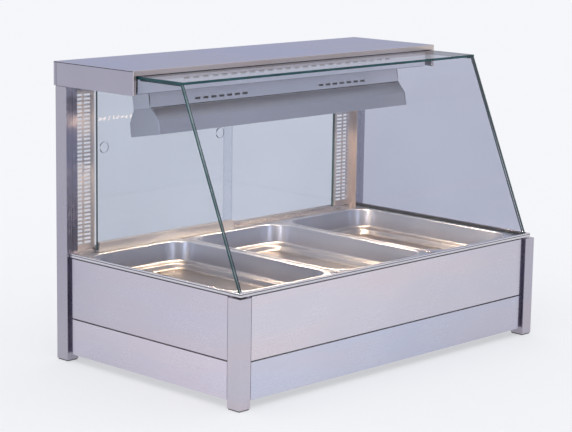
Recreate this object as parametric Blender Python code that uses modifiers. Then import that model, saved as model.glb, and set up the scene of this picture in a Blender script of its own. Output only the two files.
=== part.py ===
"""Countertop hot food display case: heated wells under a sloping glass enclosure.

X runs to the right as the customer sees the case, the customer stands on the -Y side and
+Z is up.  The origin is on the floor, under the middle of the case's box.
Depths are given from the front faces of the front posts and turned into Y by back().
A "section" is an outline or a path of (depth, height) points.
"""
import math

import bmesh
import bpy
from mathutils import Matrix, Vector

# ---- driving dimensions, in metres -------------------------------------------------------
WIDTH = 1.030
DEPTH = 0.612               # front post face to rear post face
HEIGHT = 0.703
KNOB_REACH = 0.014          # the thermostat knob stands this far behind the rear posts
GAP = 0.0003                # clearance between pieces that touch
SHEET = 0.0012

POST_X, POST_Y, POST_WALL = 0.0334, 0.038, 0.0015
FRONT_POST_TOP = 0.247
FOOT_REACH = 0.003          # the foot stands this far out of its post
FOOT_HEIGHT = 0.025

PANEL_INSET = 0.008         # posts stand proud of the panels
PANEL_STEP = 0.010          # depth of the folded edge of a panel
PANEL_MARGIN = 0.009        # the folded edge shows this wide beside a post
PANEL_BOTTOM, PANEL_SPLIT, PANEL_TOP = 0.018, 0.104, 0.247
GROOVE = 0.003              # dark line between the upper and the lower panels
CONTROL_PANEL_TOP = 0.2335  # the control panel ends under the door track

DECK_LEVEL = 0.250
RIM_WIDTH, RIM_BOTTOM, RIM_TOP = 0.005, 0.2495, 0.2585
RIM_INSET = 0.0075
DECK_LIP_FOOT = DECK_LEVEL - 0.006
CHASSIS_TOP = DECK_LIP_FOOT - GAP

PAN_LENGTH, PAN_WIDTH, PAN_DEPTH, PAN_SHEET = 0.530, 0.325, 0.065, 0.001
PAN_PITCH = 0.330
PAN_MIDDLE = 0.297          # depth of the pans' middle
PAN_RADIUS = 0.058

GLASS = 0.006
GLASS_HALF_WIDTH = 0.4995
GLASS_TOP = 0.6903
SLOPE_FOOT, SLOPE_HEAD = (0.017, 0.2585), (0.200, 0.690)

CANOPY_DEPTH, CANOPY_DROP, CANOPY_OVERHANG = 0.276, 0.0555, 0.006
CANOPY_SHEET = 0.0015
CANOPY_LIP, CANOPY_CHEEK = 0.012, 0.009

LAMP_TOP = (0.4124, 0.6043)  # middle of the hood's flat top
LAMP_TILT = math.radians(10)
LAMP_HALF_LENGTH = 0.4255
HOOD_TOP, HOOD_CREASE, HOOD_MOUTH = 0.0295, 0.0478, 0.0486   # half widths of the hood
CREASE_DROP, MOUTH_DROP = 0.0283, 0.0604                     # and how far below its top they lie
LAMP_TUBE_RADIUS, LAMP_TUBE_DROP = 0.0055, 0.036

STILE_FACE, STILE_FOLD = 0.5842, 0.010
SLOT_WIDTH, SLOT_HEIGHT, SLOT_ROWS, SLOT_PITCH, LOWEST_SLOT = 0.0190, 0.0048, 38, 0.0094, 0.2735

TRACK_HALF_LENGTH, TRACK_WALL = 0.4785, 0.0015
TRACK_FRONT, TRACK_REAR = 0.5660, 0.6018
LIP_FRONT, LIP_BACK, LIP_TOP = 0.5815, 0.5833, 0.2605        # the wall between the two doors' channels
REAR_FLOOR = 0.2360                                          # floor of the rear door's sunk channel
DOOR_TOP = 0.640
DOOR_RAIL_HEIGHT, DOOR_RAIL_HALF = 0.0225, 0.0060
FINGER_RADIUS, FINGER_DEPTH, FINGER_Z = 0.013, 0.0028, 0.4970   # round finger recesses ground in a pane

CONTROL_Z = 0.175
THERMOSTAT_X, INDICATOR_X = 0.300, 0.235
ROCKER_X = {"power": 0.185, "lamp": 0.140}
ROCKER_TILT = math.radians(6)
GLAND_X, GLAND_Z = -0.420, 0.060

# ---- places worked out from the driving dimensions ----------------------------------------
HALF_WIDTH = WIDTH / 2
FRONT_Y = -(DEPTH + KNOB_REACH) / 2
POST_INNER = HALF_WIDTH - POST_X
CANOPY_FRONT = DEPTH + CANOPY_OVERHANG - CANOPY_DEPTH
CANOPY_BOTTOM = HEIGHT - CANOPY_DROP
REAR_PANEL = DEPTH - PANEL_INSET
PAN_FRONT = PAN_MIDDLE - PAN_LENGTH / 2
SLOPE = (SLOPE_HEAD[0] - SLOPE_FOOT[0]) / (SLOPE_HEAD[1] - SLOPE_FOOT[1])
GLASS_LEVEL_THICKNESS = GLASS * math.hypot(1, SLOPE)

STEEL = ((0.62, 0.61, 0.64), 1.0, 0.32)
BRIGHT_STEEL = ((0.72, 0.70, 0.69), 1.0, 0.22)
ALUMINIUM = ((0.60, 0.61, 0.64), 1.0, 0.38)
GLASS_LOOK = ((0.55, 0.75, 0.72), 0.0, 0.03)
QUARTZ = ((0.95, 0.80, 0.60), 0.0, 0.10)
CERAMIC = ((0.85, 0.83, 0.78), 0.0, 0.60)
BLACK_PLASTIC = ((0.03, 0.03, 0.03), 0.0, 0.45)
RUBBER = ((0.02, 0.02, 0.02), 0.0, 0.80)
RED_PLASTIC = ((0.60, 0.05, 0.03), 0.0, 0.30)


def back(depth):
    """World Y of a point that lies this far behind the front posts' faces."""
    return FRONT_Y + depth


# ---- modelling tools ------------------------------------------------------------------------
def new_collection(name):
    collection = bpy.data.collections.new(name)
    bpy.context.scene.collection.children.link(collection)
    return collection


def principled(name, look):
    colour, metallic, roughness = look
    material = bpy.data.materials.new(name)
    material.use_nodes = True
    shader = material.node_tree.nodes["Principled BSDF"]
    shader.inputs["Base Color"].default_value = (*colour, 1)
    shader.inputs["Metallic"].default_value = metallic
    shader.inputs["Roughness"].default_value = roughness
    return material


def add(name, look, mesh):
    """Put a mesh in the object's collection as a named sub-part with its own material."""
    part = bpy.data.objects.new(name, mesh)
    PARTS.objects.link(part)
    mesh.materials.append(principled(name, look))
    return part


def mesh_from(bm, name):
    bmesh.ops.recalc_face_normals(bm, faces=bm.faces)
    mesh = bpy.data.meshes.new(name)
    bm.to_mesh(mesh)
    bm.free()
    return mesh


def put_box(bm, x, depth, z):
    """Add a box between the limits of x, depth and z to a mesh in work."""
    lows, highs = zip(x, (back(depth[0]), back(depth[1])), z)
    size = Vector(highs) - Vector(lows)
    middle = (Vector(highs) + Vector(lows)) / 2
    bmesh.ops.create_cube(bm, size=1, matrix=Matrix.Translation(middle) @ Matrix.Diagonal((*size, 1)))


def box(name, look, x, depth, z):
    bm = bmesh.new()
    put_box(bm, x, depth, z)
    return add(name, look, mesh_from(bm, name))


def section_mesh(name, section, x, open_edge=None):
    """Extrude a closed (depth, height) outline along X; open_edge leaves out one side's face."""
    bm = bmesh.new()
    face = bm.faces.new([bm.verts.new((x[0], back(depth), z)) for depth, z in section])
    swept = bmesh.ops.extrude_face_region(bm, geom=[face])["geom"]
    corners = [item for item in swept if isinstance(item, bmesh.types.BMVert)]
    bmesh.ops.translate(bm, verts=corners, vec=(x[1] - x[0], 0, 0))
    bmesh.ops.recalc_face_normals(bm, faces=bm.faces)
    if open_edge is not None:
        start, end = section[open_edge], section[(open_edge + 1) % len(section)]
        middle = Vector(((x[0] + x[1]) / 2, back((start[0] + end[0]) / 2), (start[1] + end[1]) / 2))
        side = min(bm.faces, key=lambda item: (item.calc_center_median() - middle).length)
        bmesh.ops.delete(bm, geom=[side], context="FACES_ONLY")
    mesh = bpy.data.meshes.new(name)
    bm.to_mesh(mesh)
    bm.free()
    return mesh


def prism(name, look, section, x):
    return add(name, look, section_mesh(name, section, x))


def upright(name, look, outline, z):
    """Extrude a closed (x, depth) outline upwards."""
    bm = bmesh.new()
    face = bm.faces.new([bm.verts.new((x, back(depth), z[0])) for x, depth in outline])
    swept = bmesh.ops.extrude_face_region(bm, geom=[face])["geom"]
    corners = [item for item in swept if isinstance(item, bmesh.types.BMVert)]
    bmesh.ops.translate(bm, verts=corners, vec=(0, 0, z[1] - z[0]))
    return add(name, look, mesh_from(bm, name))


def solidify(part, thickness):
    """Thicken a sheet on the side that its faces turn away from."""
    modifier = part.modifiers.new("sheet", "SOLIDIFY")
    modifier.thickness = thickness
    modifier.offset = -1
    modifier.solidify_mode = "NON_MANIFOLD"
    modifier.nonmanifold_thickness_mode = "CONSTRAINTS"


def folded_upright(name, look, path, z, thickness=SHEET, closed=False):
    """Fold a sheet along an (x, depth) path, upright; it lies to the left of the path."""
    bm = bmesh.new()
    feet = [bm.verts.new((x, back(depth), z[0])) for x, depth in path]
    heads = [bm.verts.new((x, back(depth), z[1])) for x, depth in path]
    for i in range(len(path) if closed else len(path) - 1):
        j = (i + 1) % len(path)
        bm.faces.new((feet[i], feet[j], heads[j], heads[i]))
    mesh = bpy.data.meshes.new(name)
    bm.to_mesh(mesh)
    bm.free()
    part = add(name, look, mesh)
    solidify(part, thickness)
    return part


def frame(name, look, rings):
    """A rectangular frame whose section runs through rings of (half x, front, rear, z)."""
    bm = bmesh.new()
    loops = []
    for half_x, front, rear, z in rings:
        corners = ((half_x, front), (half_x, rear), (-half_x, rear), (-half_x, front))
        loops.append([bm.verts.new((x, back(depth), z)) for x, depth in corners])
    for ring, loop in enumerate(loops):
        following = loops[(ring + 1) % len(loops)]
        for i in range(4):
            j = (i + 1) % 4
            bm.faces.new((loop[i], loop[j], following[j], following[i]))
    return add(name, look, mesh_from(bm, name))


def folded_along_x(name, look, path, x, thickness=SHEET):
    """Fold a sheet along a (depth, height) path and along X; it lies to the left of the path."""
    bm = bmesh.new()
    starts = [bm.verts.new((x[0], back(depth), z)) for depth, z in path]
    ends = [bm.verts.new((x[1], back(depth), z)) for depth, z in path]
    for i in range(len(path) - 1):
        bm.faces.new((starts[i], starts[i + 1], ends[i + 1], ends[i]))
    mesh = bpy.data.meshes.new(name)
    bm.to_mesh(mesh)
    bm.free()
    part = add(name, look, mesh)
    solidify(part, thickness)
    return part


def cutter(name, bm):
    """Keep a mesh as a hidden tool for Boolean modifiers."""
    tool = bpy.data.objects.new(name, mesh_from(bm, name))
    CUTTERS.objects.link(tool)
    tool.hide_render = True
    tool.display_type = "WIRE"
    return tool


def cut(part, tool):
    modifier = part.modifiers.new("cut", "BOOLEAN")
    modifier.operation = "DIFFERENCE"
    modifier.solver = "EXACT"
    modifier.object = tool


def cut_boxes(part, boxes):
    """Cut boxes, each given as its limits in x, depth and z, out of a part."""
    bm = bmesh.new()
    for limits in boxes:
        put_box(bm, *limits)
    cut(part, cutter(part.name + "_cutter", bm))


def put_rod(bm, radius, x, depth, z, segments=24):
    """Add a cylinder that runs from front to back to a mesh in work."""
    middle = Vector((x, back((depth[0] + depth[1]) / 2), z))
    place = Matrix.Translation(middle) @ Matrix.Rotation(math.radians(90), 4, "X")
    bmesh.ops.create_cone(bm, cap_ends=True, segments=segments, radius1=radius, radius2=radius,
                          depth=depth[1] - depth[0], matrix=place)


def cut_rods(part, rods):
    bm = bmesh.new()
    for rod in rods:
        put_rod(bm, *rod)
    cut(part, cutter(part.name + "_bore", bm))


def smooth(part, angle=35):
    part.data.shade_smooth()
    part.data.set_sharp_from_angle(angle=math.radians(angle))
    return part


def turned(name, look, profile, x, depth, z, steps=32):
    """Turn a profile of (radius, depth) points, from the rear end forwards, about a Y axis."""
    mesh = bpy.data.meshes.new(name)
    points = [(radius, 0, along) for radius, along in profile]
    mesh.from_pydata(points, [(i, i + 1) for i in range(len(points) - 1)], [])
    part = add(name, look, mesh)
    part.location = (x, back(depth), z)
    part.rotation_euler = (math.radians(-90), 0, 0)
    screw = part.modifiers.new("turn", "SCREW")
    screw.steps = screw.render_steps = steps
    screw.use_merge_vertices = True
    screw.merge_threshold = 0.0001
    screw.use_smooth_shade = True
    return part


# ---- base ------------------------------------------------------------------------------------
def make_chassis():
    """The folded wall that carries the deck's inner edge, clear of the posts."""
    side, front, rear = 0.4915, POST_Y + 0.0004, 0.5632
    path = [(-side, front), (side, front), (side, rear), (-side, rear)]
    folded_upright("chassis", STEEL, path, (0.020, CHASSIS_TOP), thickness=0.001, closed=True)


def make_base_tray():
    tray = box("base_tray", STEEL, (-0.490, 0.490), (0.0395, 0.5620), (0.0182, 0.0197))
    slots = [((x - 0.035, x + 0.035), (depth - 0.003, depth + 0.003), (0.015, 0.023))
             for x in (-0.3, -0.1, 0.1, 0.3) for depth in (0.12, 0.14, 0.46, 0.48)]
    cut_boxes(tray, slots)


def tray_path(flat, end, face, step):
    """Path of a tray's section: flat between -flat and flat, stepped back beyond that."""
    return [(-end, step), (-flat, step), (-flat, face), (flat, face), (flat, step), (end, step)]


def make_panels():
    """Two panels on each side, one above the other: flat trays whose ends step back to the posts."""
    face, step, clear = PANEL_INSET, PANEL_INSET + PANEL_STEP, 2 * GAP
    front = tray_path(POST_INNER - PANEL_MARGIN, POST_INNER - clear, face, step)
    rear = [(x, DEPTH - depth) for x, depth in reversed(front)]
    middle, half = DEPTH / 2, DEPTH / 2 - POST_Y
    side = tray_path(half - PANEL_MARGIN, half - clear, face, step)
    right = [(HALF_WIDTH - inset, middle + along) for along, inset in side]
    left = [(-x, depth) for x, depth in reversed(right)]
    levels = {"lower": (PANEL_BOTTOM, PANEL_SPLIT - GROOVE / 2),
              "upper": (PANEL_SPLIT + GROOVE / 2, PANEL_TOP)}
    for level, z in levels.items():
        folded_upright("front_panel_" + level, STEEL, front, z)
        folded_upright("right_panel_" + level, STEEL, right, z)
        folded_upright("left_panel_" + level, STEEL, left, z)
    folded_upright("rear_panel_lower", STEEL, rear, levels["lower"])
    control = folded_upright("control_panel", STEEL, rear, (levels["upper"][0], CONTROL_PANEL_TOP))
    reach = (REAR_PANEL - 0.004, REAR_PANEL + 0.002)
    shaft_hole, lamp_hole = 0.005, 0.0045
    half_x, half_z = 0.0096, 0.0136
    bm = bmesh.new()
    put_rod(bm, shaft_hole, THERMOSTAT_X, reach, CONTROL_Z)
    put_rod(bm, lamp_hole, INDICATOR_X, reach, CONTROL_Z)
    for x in ROCKER_X.values():
        put_box(bm, (x - half_x, x + half_x), reach, (CONTROL_Z - half_z, CONTROL_Z + half_z))
    cut(control, cutter("control_panel_holes", bm))


def make_posts():
    """Square tubes, closed at the top; each stands on a plastic foot pushed into its lower end."""
    front, rear = (0, POST_Y), (DEPTH - POST_Y, DEPTH)
    for end, depth, top in (("front", front, FRONT_POST_TOP), ("rear", rear, CANOPY_BOTTOM - 0.0005)):
        for side, sign in (("left", -1), ("right", 1)):
            x = sorted((sign * POST_INNER, sign * HALF_WIDTH))
            name = end + "_" + side
            post = box("post_" + name, STEEL, x, depth, (FOOT_REACH, top))
            hollow_x = x[0] + POST_WALL, x[1] - POST_WALL
            hollow_depth = depth[0] + POST_WALL, depth[1] - POST_WALL
            cut_boxes(post, [(hollow_x, hollow_depth, (-0.010, top - POST_WALL))])
            plug_x = hollow_x[0] + GAP, hollow_x[1] - GAP
            plug_depth = hollow_depth[0] + GAP, hollow_depth[1] - GAP
            box("foot_" + name, BLACK_PLASTIC, plug_x, plug_depth, (0, FOOT_HEIGHT))


# ---- wells -----------------------------------------------------------------------------------
def rounded_rectangle(half_x, half_y, radius, segments):
    """Points of a rectangle with round corners, anticlockwise, centred on the origin."""
    if segments == 0:
        return [(half_x, -half_y), (half_x, half_y), (-half_x, half_y), (-half_x, -half_y)]
    points = []
    for quarter in range(4):
        sign_x = 1 if quarter in (0, 3) else -1
        sign_y = 1 if quarter in (0, 1) else -1
        for step in range(segments + 1):
            angle = math.radians(90) * (quarter + step / segments)
            points.append((sign_x * (half_x - radius) + radius * math.cos(angle),
                           sign_y * (half_y - radius) + radius * math.sin(angle)))
    return points


def pressed(name, look, middle, rings, segments, thickness, floor):
    """Press a sheet through rings of (half x, half y, radius, z); floor closes the last one."""
    bm = bmesh.new()
    loops = []
    for half_x, half_y, radius, z in rings:
        outline = rounded_rectangle(half_x, half_y, radius, segments)
        loops.append([bm.verts.new((middle[0] + x, middle[1] + y, z)) for x, y in outline])
    count = len(loops[0])
    for outer, inner in zip(loops, loops[1:]):
        for i in range(count):
            j = (i + 1) % count
            bm.faces.new((outer[i], outer[j], inner[j], inner[i]))
    if floor:
        bm.faces.new(loops[-1])
    mesh = bpy.data.meshes.new(name)
    bm.to_mesh(mesh)
    bm.free()
    part = add(name, look, mesh)
    solidify(part, thickness)
    return part


def make_deck():
    """The plate round the wells, with its inner edge turned down, and the rim that keeps the glass."""
    outer = 0.5020, 0.0130, 0.5650
    opening = 0.4840, 0.0405, 0.5535
    lip = opening[0] + SHEET, opening[1] - SHEET, opening[2] + SHEET
    underside = DECK_LEVEL - SHEET
    rings = [(*outer, DECK_LEVEL), (*opening, DECK_LEVEL), (*opening, DECK_LIP_FOOT),
             (*lip, DECK_LIP_FOOT), (*lip, underside), (*outer, underside)]
    frame("deck_plate", BRIGHT_STEEL, rings)

    rim_x, rear = HALF_WIDTH - RIM_INSET, DEPTH - POST_Y - 0.0015
    inner_x, inner_front = rim_x - RIM_WIDTH, RIM_INSET + RIM_WIDTH
    outline = [(-rim_x, rear), (-rim_x, RIM_INSET), (rim_x, RIM_INSET), (rim_x, rear),
               (inner_x, rear), (inner_x, inner_front), (-inner_x, inner_front), (-inner_x, rear)]
    upright("glass_rim", STEEL, outline, (RIM_BOTTOM, RIM_TOP))


def make_tank():
    """The well under the pans and the serpentine element that heats it."""
    half_x, depth = 0.4868, (0.0407, 0.5560)
    middle = (0, back(sum(depth) / 2))
    half_y = (depth[1] - depth[0]) / 2
    rings = [(half_x, half_y, 0, CHASSIS_TOP), (half_x, half_y, 0, 0.150)]
    pressed("well_tank", STEEL, middle, rings, 0, 0.001, floor=True)

    runs, reach, pitch, z = 6, 0.430, 0.070, 0.1580
    turn = pitch / 2
    first = PAN_MIDDLE - pitch * (runs - 1) / 2
    points = [(-reach, first)]
    for run in range(runs - 1):
        side = -1 if run % 2 else 1
        for step in range(7):
            angle = math.radians(30 * step - 90)
            points.append((side * (reach + turn * math.cos(angle)),
                           first + pitch * run + turn + turn * math.sin(angle)))
    points.append((reach * (1 if runs % 2 else -1), first + pitch * (runs - 1)))
    curve = bpy.data.curves.new("heating_element", "CURVE")
    curve.dimensions = "3D"
    curve.bevel_depth = 0.004
    curve.bevel_resolution = 2
    curve.use_fill_caps = True
    spline = curve.splines.new("POLY")
    spline.points.add(len(points) - 1)
    for point, (x, depth_here) in zip(spline.points, points):
        point.co = (x, back(depth_here), z, 1)
    element = bpy.data.objects.new("heating_element", curve)
    PARTS.objects.link(element)
    curve.materials.append(principled("heating_element", STEEL))


def make_pans():
    """Three pans with a flange, round corners and a stepped floor, and the bars between them."""
    half_x, half_y = PAN_WIDTH / 2, PAN_LENGTH / 2
    top = DECK_LEVEL + GAP + PAN_SHEET
    for name, x in (("pan_left", -PAN_PITCH), ("pan_middle", 0), ("pan_right", PAN_PITCH)):
        rings = [(half_x, half_y, 0.016, top),
                 (half_x - 0.0100, half_y - 0.0100, PAN_RADIUS, top),
                 (half_x - 0.0120, half_y - 0.0120, PAN_RADIUS - 0.002, top - 0.003),
                 (half_x - 0.0170, half_y - 0.0170, PAN_RADIUS - 0.006, top - 0.046),
                 (half_x - 0.0205, half_y - 0.0205, PAN_RADIUS - 0.009, top - 0.050),
                 (half_x - 0.0285, half_y - 0.0285, PAN_RADIUS - 0.016, top - 0.051),
                 (half_x - 0.0360, half_y - 0.0360, PAN_RADIUS - 0.022, top - PAN_DEPTH)]
        pan = pressed(name, BRIGHT_STEEL, (x, back(PAN_MIDDLE)), rings, 5, PAN_SHEET, floor=True)
        smooth(pan, 40)
    for name, x in (("divider_left", -PAN_PITCH / 2), ("divider_right", PAN_PITCH / 2)):
        make_divider(name, x)


def make_divider(name, x):
    """A T-shaped bar between two pans: its web stands between their flanges, its feet lie on the deck."""
    half, web = 0.0100, 0.0021
    depth, opening = (0.0340, 0.5600), (0.0425, 0.5515)
    foot, wing, top = DECK_LEVEL - 0.003, DECK_LEVEL - GAP, DECK_LEVEL + 0.0024
    past = 0.010
    bar = box(name, BRIGHT_STEEL, (x - half, x + half), depth, (foot, top))
    above_wings = (wing, top + past)
    below_feet = (foot - past, DECK_LEVEL + GAP)
    cut_boxes(bar, [((x - half - past, x - web), (depth[0] - past, depth[1] + past), above_wings),
                    ((x + web, x + half + past), (depth[0] - past, depth[1] + past), above_wings)])
    ends = bmesh.new()
    put_box(ends, (x - half - past, x + half + past), (depth[0] - past, opening[0]), below_feet)
    put_box(ends, (x - half - past, x + half + past), (opening[1], depth[1] + past), below_feet)
    cut(bar, cutter(name + "_ends", ends))


# ---- rear: stiles, tracks and sliding doors -----------------------------------------------------
def make_stiles():
    """Perforated uprights: the inner edge is folded back, the outer edge forward."""
    z = (REAR_FLOOR + GAP, 0.6450)
    stiles = {"left": (-0.4220, -0.4800, 0.006, (-0.4685, -0.4440)),
              "right": (0.4120, 0.4800, 0.014, (0.4250, 0.4495))}
    for side, (inner, outer, flange, columns) in stiles.items():
        path = [(inner, STILE_FACE + STILE_FOLD), (inner, STILE_FACE),
                (outer, STILE_FACE), (outer, STILE_FACE - flange)]
        if side == "left":
            path.reverse()
        stile = folded_upright("stile_" + side, STEEL, path, z)
        reach = (STILE_FACE - 0.001, STILE_FACE + 0.003)
        slots = []
        for x in columns:
            for row in range(SLOT_ROWS):
                foot = LOWEST_SLOT + SLOT_PITCH * row
                slots.append(((x - SLOT_WIDTH / 2, x + SLOT_WIDTH / 2), reach, (foot, foot + SLOT_HEIGHT)))
        cut_boxes(stile, slots)


def make_tracks():
    """Two-channel tracks: the front door runs before the lip, the rear door in the sunk channel."""
    front, rear, wall = TRACK_FRONT, TRACK_REAR, TRACK_WALL
    rear_wall = rear - LIP_BACK + LIP_FRONT
    bottom = [(front, DECK_LEVEL - wall), (LIP_FRONT, DECK_LEVEL - wall), (LIP_FRONT, REAR_FLOOR - wall),
              (rear, REAR_FLOOR - wall), (rear, LIP_TOP), (rear_wall, LIP_TOP), (rear_wall, REAR_FLOOR),
              (LIP_BACK, REAR_FLOOR), (LIP_BACK, LIP_TOP), (LIP_FRONT, LIP_TOP),
              (LIP_FRONT, DECK_LEVEL), (front, DECK_LEVEL)]
    prism("door_track_bottom", STEEL, bottom, (-TRACK_HALF_LENGTH, TRACK_HALF_LENGTH))
    lip, plate, top = 0.6340, 0.6455, 0.6470
    front_back = front + LIP_BACK - LIP_FRONT
    upper = [(front, top), (front, lip), (front_back, lip), (front_back, plate),
             (LIP_FRONT, plate), (LIP_FRONT, lip), (LIP_BACK, lip), (LIP_BACK, plate),
             (rear_wall, plate), (rear_wall, lip), (rear, lip), (rear, top)]
    prism("door_track_top", STEEL, upper, (-TRACK_HALF_LENGTH, TRACK_HALF_LENGTH))


def make_door(side, pane_x, rail_x, middle, foot, recesses):
    """A glass pane in a channel rail; the pane stands 4 mm above the rail's underside."""
    rail_top, half = foot + DOOR_RAIL_HEIGHT, DOOR_RAIL_HALF
    slot = GLASS / 2 + GAP
    pane_foot = foot + 0.004
    channel = [(middle - half, foot), (middle + half, foot), (middle + half, rail_top),
               (middle + slot, rail_top), (middle + slot, pane_foot - GAP),
               (middle - slot, pane_foot - GAP), (middle - slot, rail_top), (middle - half, rail_top)]
    prism("door_rail_" + side, ALUMINIUM, channel, rail_x)
    pane_depth = (middle - GLASS / 2, middle + GLASS / 2)
    pane = box("door_glass_" + side, GLASS_LOOK, pane_x, pane_depth, (pane_foot, DOOR_TOP))
    if recesses:
        reach = (pane_depth[1] - FINGER_DEPTH, pane_depth[1] + 0.002)
        cut_rods(pane, [(FINGER_RADIUS, x, reach, FINGER_Z, 40) for x in recesses])


def make_doors():
    front, rear = 0.5742, 0.5922
    make_door("left", (-0.4240, 0.0165), (-0.4217, 0.0205), front, DECK_LEVEL + GAP, (-0.4000, -0.0235))
    make_door("right", (0.0060, 0.4105), (0.0060, 0.4105), rear, REAR_FLOOR + GAP, ())


# ---- glass enclosure ---------------------------------------------------------------------------
def slope_at(z):
    """Depth of the front pane's outer face at a height."""
    return SLOPE_FOOT[0] + (z - SLOPE_FOOT[1]) * SLOPE


def make_glass():
    foot = DECK_LEVEL + 0.0005
    head = GLASS_TOP - GLASS - 0.0003
    outer = (slope_at(foot), foot), (slope_at(head), head)
    inner = [(depth + GLASS_LEVEL_THICKNESS, z) for depth, z in outer]
    prism("front_glass", GLASS_LOOK, [outer[0], inner[0], inner[1], outer[1]],
          (-GLASS_HALF_WIDTH, GLASS_HALF_WIDTH))
    rear = DEPTH - POST_Y - 0.0015
    pane = [(inner[0][0] + 0.0005, foot), (rear, foot), (rear, head), (inner[1][0] + 0.0005, head)]
    for side, sign in (("left", -1), ("right", 1)):
        x = sorted((sign * GLASS_HALF_WIDTH, sign * (GLASS_HALF_WIDTH - GLASS)))
        prism("side_glass_" + side, GLASS_LOOK, pane, x)
    box("top_glass", GLASS_LOOK, (-GLASS_HALF_WIDTH, GLASS_HALF_WIDTH),
        (slope_at(head), CANOPY_FRONT + 0.013), (GLASS_TOP - GLASS, GLASS_TOP))


# ---- canopy --------------------------------------------------------------------------------------
def make_canopy():
    """A cover open below, with a slot under its front lip for the top pane."""
    rear = DEPTH + CANOPY_OVERHANG
    section = [(CANOPY_FRONT, CANOPY_BOTTOM), (rear, CANOPY_BOTTOM), (rear, HEIGHT), (CANOPY_FRONT, HEIGHT)]
    shell = add("canopy_shell", STEEL,
                section_mesh("canopy_shell", section, (-HALF_WIDTH, HALF_WIDTH), open_edge=0))
    solidify(shell, CANOPY_SHEET)
    window_x = HALF_WIDTH - CANOPY_CHEEK
    cut_boxes(shell, [((-window_x, window_x), (CANOPY_FRONT - 0.010, CANOPY_FRONT + 0.005),
                       (CANOPY_BOTTOM - 0.010, HEIGHT - CANOPY_LIP))])
    inside = GLASS_HALF_WIDTH - GLASS
    fascia_x = inside - 0.0005
    box("canopy_underside", STEEL, (-fascia_x, fascia_x), (CANOPY_FRONT + 0.014, rear - 0.002),
        (CANOPY_BOTTOM + 0.0005, CANOPY_BOTTOM + 0.0017))

    face = CANOPY_FRONT + 0.010
    low, high = CANOPY_BOTTOM + 0.0025, GLASS_TOP - GLASS - 0.0005
    path = [(face + 0.015, high), (face, high), (face, low), (face + 0.015, low)]
    fascia = folded_along_x("canopy_fascia", STEEL, path, (-fascia_x, fascia_x))
    pitch, length, height, middle = 0.0300, 0.0180, 0.0045, high - 0.008
    vents = [((x - length / 2, x + length / 2), (face - 0.002, face + 0.004),
              (middle - height / 2, middle + height / 2))
             for x in (pitch * (step - 11.5) for step in range(24))]
    cut_boxes(fascia, vents)
    for side, sign in (("left", -1), ("right", 1)):
        x = sorted((sign * (GLASS_HALF_WIDTH + 0.0005), sign * (HALF_WIDTH - CANOPY_CHEEK - 0.0005)))
        box("seal_block_" + side, RUBBER, x, (CANOPY_FRONT + 0.002, CANOPY_FRONT + 0.014), (0.665, 0.6835))


# ---- heat lamp unit ---------------------------------------------------------------------------------
def lamp_point(across, up):
    """(depth, height) of a point of the tilted lamp unit: across runs back, up is from its top."""
    depth, z = LAMP_TOP
    return (depth + across * math.cos(LAMP_TILT) + up * math.sin(LAMP_TILT),
            z - across * math.sin(LAMP_TILT) + up * math.cos(LAMP_TILT))


def tilted_block(half, foot, head):
    """Outline of a block inside the hood, between two heights below the hood's top."""
    return [lamp_point(-half, foot), lamp_point(half, foot), lamp_point(half, head), lamp_point(-half, head)]


def hood_outline(spread):
    """The hood's six corners; spread moves each outwards."""
    mouth, crease, top = HOOD_MOUTH + spread, HOOD_CREASE + spread, HOOD_TOP + spread / 2
    return [lamp_point(-mouth, -MOUTH_DROP), lamp_point(mouth, -MOUTH_DROP),
            lamp_point(crease, -CREASE_DROP), lamp_point(top, spread * 0.6),
            lamp_point(-top, spread * 0.6), lamp_point(-crease, -CREASE_DROP)]


def make_lamp_unit():
    length = LAMP_HALF_LENGTH - 0.0026
    sheet, plate, spread = 0.0010, 0.0020, 0.0010
    hood = add("lamp_hood", STEEL, section_mesh("lamp_hood", hood_outline(0), (-length, length), open_edge=0))
    solidify(hood, sheet)
    for side, sign in (("left", -1), ("right", 1)):
        x = sorted((sign * LAMP_HALF_LENGTH, sign * (LAMP_HALF_LENGTH - plate)))
        prism("lamp_end_" + side, STEEL, hood_outline(spread), x)
    make_duct(spread * 0.6 + GAP, sheet)
    make_lamps(length - sheet - GAP)


def make_duct(foot, sheet):
    """The box above the hood that carries its wires, with two rows of air slots in front."""
    half, ceiling, half_length = HOOD_TOP - 0.0007, CANOPY_BOTTOM - 0.0005, LAMP_HALF_LENGTH + 0.0010
    lean = math.tan(LAMP_TILT)
    feet = [lamp_point(-half, foot), lamp_point(half, foot)]
    front_head, rear_head = ((depth + (ceiling - z) * lean, ceiling) for depth, z in feet)
    section = [*feet, rear_head, front_head]
    shell = section_mesh("lamp_duct", section, (-half_length, half_length), open_edge=2)
    duct = add("lamp_duct", STEEL, shell)
    solidify(duct, sheet)
    slot_pitch, slot_half_width, slot_half_height = 0.0255, 0.0085, 0.0024
    front, slot_z = feet[0][0], feet[0][1] + 0.0115
    reach, z = (front - 0.010, front + 0.009), (slot_z - slot_half_height, slot_z + slot_half_height)
    slots = []
    for middle in (-0.2015, 0.2140):
        for step in range(-3, 4):
            x = middle + slot_pitch * step
            slots.append(((x - slot_half_width, x + slot_half_width), reach, z))
    cut_boxes(duct, slots)


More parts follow.
